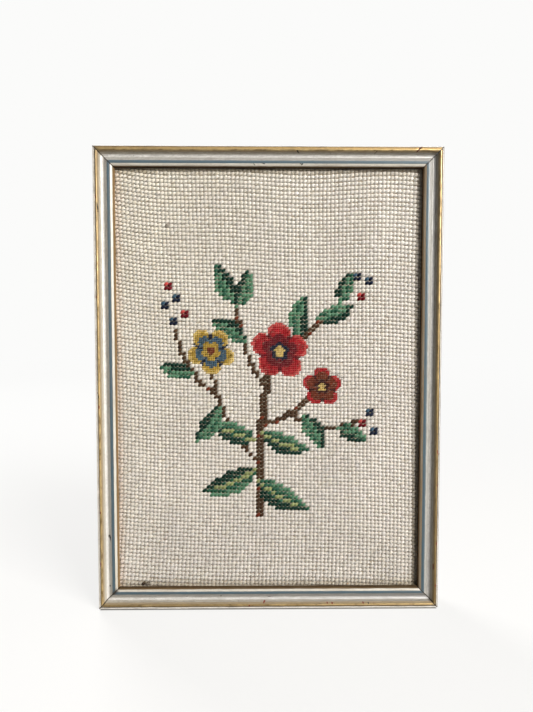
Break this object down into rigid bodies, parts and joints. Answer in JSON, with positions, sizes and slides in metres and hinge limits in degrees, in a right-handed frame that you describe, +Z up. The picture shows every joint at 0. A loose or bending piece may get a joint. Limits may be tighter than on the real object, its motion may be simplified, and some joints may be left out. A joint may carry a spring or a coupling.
{
  "type": "framed needlepoint with its wooden frame",
  "caption": "Stitched wool canvas in a narrow painted wooden frame with mitred corners, for a wall or a shelf.",
  "frame": {"origin": "middle of the underside of the bottom rail, at half the frame's depth", "axes": "+Z up; the picture faces -Y, and +X is to the right as it is looked at; the frame's back lies in one plane facing +Y"},
  "size_m": [0.19, 0.018, 0.255],
  "materials": {
    "painted_moulding": "aged silver-white and gold paint, satin",
    "stitched_wool": "matte wool stitches",
    "backing": "matte board"
  },
  "bodies": {
    "root": {"rail_top": "painted_moulding", "rail_bottom": "painted_moulding", "rail_left": "painted_moulding", "rail_right": "painted_moulding", "stitched_canvas": "stitched_wool", "backing_board": "backing"}
  },
  "joints": []
}
